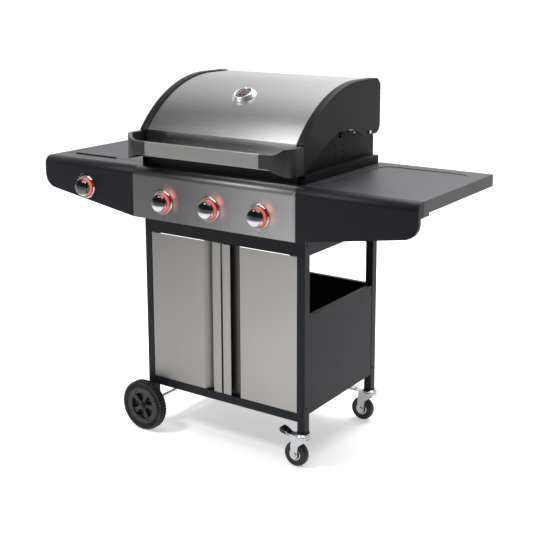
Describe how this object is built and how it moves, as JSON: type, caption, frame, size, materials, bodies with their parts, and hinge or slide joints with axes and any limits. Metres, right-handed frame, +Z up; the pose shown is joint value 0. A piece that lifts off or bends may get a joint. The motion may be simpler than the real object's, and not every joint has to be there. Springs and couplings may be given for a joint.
{
  "type": "gas barbecue",
  "caption": "Gas barbecue on a wheeled cabinet: hinged curved lid, control panel with push-turn knobs, folding-grip doors, side shelves and a covered side burner.",
  "frame": {"origin": "on the ground, below the centre of the overall box", "axes": "+X to the user's right, +Y from the user towards the back, +Z up"},
  "size_m": [1.332, 0.574, 1.11],
  "materials": {
    "black_steel": "black satin powder coat",
    "firebox_enamel": "matt black heat-resistant enamel",
    "shelf_paint": "dark grey fine-textured powder coat",
    "cap_paint": "dark grey satin enamel",
    "lid_steel": "brushed stainless steel",
    "door_steel": "satin stainless sheet",
    "panel_steel": "brushed stainless sheet",
    "handle_steel": "brushed stainless tube",
    "zinc_plate": "bright zinc plate",
    "knob_chrome": "satin chrome",
    "bezel_chrome": "polished chrome",
    "ring_glow": "translucent red",
    "bracket_plastic": "moulded heat-resistant black",
    "wheel_plastic": "moulded black",
    "castor_tread": "grey moulded tread",
    "burner_steel": "plain stainless",
    "inner_steel": "galvanised",
    "iron": "enamelled cast iron",
    "rack_wire": "black enamelled wire",
    "gas_brass": "plain brass",
    "dial_chrome": "polished rim",
    "needle_red": "red",
    "catch_plastic": "moulded off-white"
  },
  "bodies": {
    "cart": {"leg_front_left": "black_steel", "leg_front_right": "black_steel", "leg_rear_left": "black_steel", "leg_rear_right": "black_steel", "front_rails": "black_steel", "rear_rails": "black_steel", "side_rails": "black_steel", "side_panel_left": "black_steel", "side_panel_right": "black_steel", "back_panel": "black_steel", "bottle_shelf": "black_steel", "wheel_axle": "zinc_plate", "door_hinge_pins": "zinc_plate", "door_catches": "catch_plastic", "firebox": "firebox_enamel", "grease_funnel": "inner_steel", "burners": "burner_steel", "flame_tamers": "inner_steel", "grate_left": "iron", "grate_right": "iron", "warming_rack": "rack_wire", "gas_manifold": "gas_brass", "knob_bezels": "bezel_chrome", "glow_rings": "ring_glow", "control_panel": "panel_steel", "lid_pivots": "zinc_plate", "shelf_left": "shelf_paint", "shelf_right": "shelf_paint", "shelf_front_left": "black_steel", "shelf_front_right": "black_steel", "side_burner_bowl": "inner_steel", "side_burner": "iron", "pan_support": "iron"},
    "lid": {"lid_skin": "lid_steel", "lid_cap_left": "cap_paint", "lid_cap_right": "cap_paint", "handle_bar": "handle_steel", "handle_brackets": "bracket_plastic", "thermometer": "dial_chrome"},
    "thermometer_needle": {"thermometer_needle": "needle_red"},
    "door_left": {"door_left": "door_steel"},
    "door_right": {"door_right": "door_steel"},
    "castor_front": {"castor_fork_front": "zinc_plate"},
    "castor_rear": {"castor_fork_rear": "zinc_plate"},
    "castor_wheel_front": {"castor_wheel_front": "castor_tread"},
    "castor_wheel_rear": {"castor_wheel_rear": "castor_tread"},
    "brake_front": {"brake_pedal_front": "zinc_plate"},
    "brake_rear": {"brake_pedal_rear": "zinc_plate"},
    "wheel_front": {"cart_wheel_front": "wheel_plastic"},
    "wheel_rear": {"cart_wheel_rear": "wheel_plastic"},
    "side_lid": {"side_burner_lid": "shelf_paint"},
    "drip_tray": {"drip_tray": "inner_steel"},
    "valve_1": {"valve_plug_1": "zinc_plate"},
    "knob_1": {"knob_1": "knob_chrome"},
    "valve_2": {"valve_plug_2": "zinc_plate"},
    "knob_2": {"knob_2": "knob_chrome"},
    "valve_3": {"valve_plug_3": "zinc_plate"},
    "knob_3": {"knob_3": "knob_chrome"},
    "valve_4": {"valve_plug_4": "zinc_plate"},
    "knob_4": {"knob_4": "knob_chrome"}
  },
  "joints": [
    {"name": "lid_hinge", "type": "hinge", "parent": "cart", "child": "lid", "pos_m": [0, 0.168, 0.95], "axis": [-1, 0, 0], "range_deg": [0, 75]},
    {"name": "thermometer_turn", "type": "hinge", "parent": "lid", "child": "thermometer_needle", "pos_m": [0, -0.07187, 1.06976], "axis": [0, 0.461, -0.8874], "range_deg": [0, 270]},
    {"name": "door_left_hinge", "type": "hinge", "parent": "cart", "child": "door_left", "pos_m": [-0.263, -0.186, 0.4], "axis": [0, 0, -1], "range_deg": [0, 110]},
    {"name": "door_right_hinge", "type": "hinge", "parent": "cart", "child": "door_right", "pos_m": [0.263, -0.186, 0.4], "axis": [0, 0, 1], "range_deg": [0, 110]},
    {"name": "knob_1_turn", "type": "hinge", "parent": "cart", "child": "valve_1", "pos_m": [-0.174, -0.2415, 0.75], "axis": [0, -1, 0], "range_deg": [0, 225]},
    {"name": "knob_1_push", "type": "slide", "parent": "valve_1", "child": "knob_1", "axis": [0, 1, 0], "range_m": [0, 0.004], "stiffness_N_per_m": 1000, "springref_m": -0.003},
    {"name": "knob_2_turn", "type": "hinge", "parent": "cart", "child": "valve_2", "pos_m": [0, -0.2415, 0.75], "axis": [0, -1, 0], "range_deg": [0, 225]},
    {"name": "knob_2_push", "type": "slide", "parent": "valve_2", "child": "knob_2", "axis": [0, 1, 0], "range_m": [0, 0.004], "stiffness_N_per_m": 1000, "springref_m": -0.003},
    {"name": "knob_3_turn", "type": "hinge", "parent": "cart", "child": "valve_3", "pos_m": [0.174, -0.2415, 0.75], "axis": [0, -1, 0], "range_deg": [0, 225]},
    {"name": "knob_3_push", "type": "slide", "parent": "valve_3", "child": "knob_3", "axis": [0, 1, 0], "range_m": [0, 0.004], "stiffness_N_per_m": 1000, "springref_m": -0.003},
    {"name": "knob_4_turn", "type": "hinge", "parent": "cart", "child": "valve_4", "pos_m": [-0.486, -0.2415, 0.764], "axis": [0, -1, 0], "range_deg": [0, 225]},
    {"name": "knob_4_push", "type": "slide", "parent": "valve_4", "child": "knob_4", "axis": [0, 1, 0], "range_m": [0, 0.004], "stiffness_N_per_m": 1000, "springref_m": -0.003},
    {"name": "castor_front_swivel", "type": "hinge", "parent": "cart", "child": "castor_front", "pos_m": [0.2815, -0.1775, 0.103], "axis": [0, 0, 1], "continuous": true},
    {"name": "castor_front_roll", "type": "hinge", "parent": "castor_front", "child": "castor_wheel_front", "pos_m": [0.2595, -0.1775, 0.0375], "axis": [0, 1, 0], "continuous": true},
    {"name": "brake_front", "type": "hinge", "parent": "castor_front", "child": "brake_front", "pos_m": [0.2575, -0.1775, 0.086], "axis": [0, -1, 0], "range_deg": [0, 15]},
    {"name": "castor_rear_swivel", "type": "hinge", "parent": "cart", "child": "castor_rear", "pos_m": [0.2815, 0.2175, 0.103], "axis": [0, 0, 1], "continuous": true},
    {"name": "castor_rear_roll", "type": "hinge", "parent": "castor_rear", "child": "castor_wheel_rear", "pos_m": [0.2595, 0.2175, 0.0375], "axis": [0, 1, 0], "continuous": true},
    {"name": "brake_rear", "type": "hinge", "parent": "castor_rear", "child": "brake_rear", "pos_m": [0.2575, 0.2175, 0.086], "axis": [0, -1, 0], "range_deg": [0, 15]},
    {"name": "wheel_front_roll", "type": "hinge", "parent": "cart", "child": "wheel_front", "pos_m": [-0.2815, -0.228, 0.08], "axis": [0, 1, 0], "continuous": true},
    {"name": "wheel_rear_roll", "type": "hinge", "parent": "cart", "child": "wheel_rear", "pos_m": [-0.2815, 0.268, 0.08], "axis": [0, 1, 0], "continuous": true},
    {"name": "side_lid_hinge", "type": "hinge", "parent": "cart", "child": "side_lid", "pos_m": [-0.486, 0.167, 0.8415], "axis": [-1, 0, 0], "range_deg": [0, 95]},
    {"name": "drip_tray_slide", "type": "slide", "parent": "cart", "child": "drip_tray", "axis": [0, 1, 0], "range_m": [0, 0.3]}
  ]
}
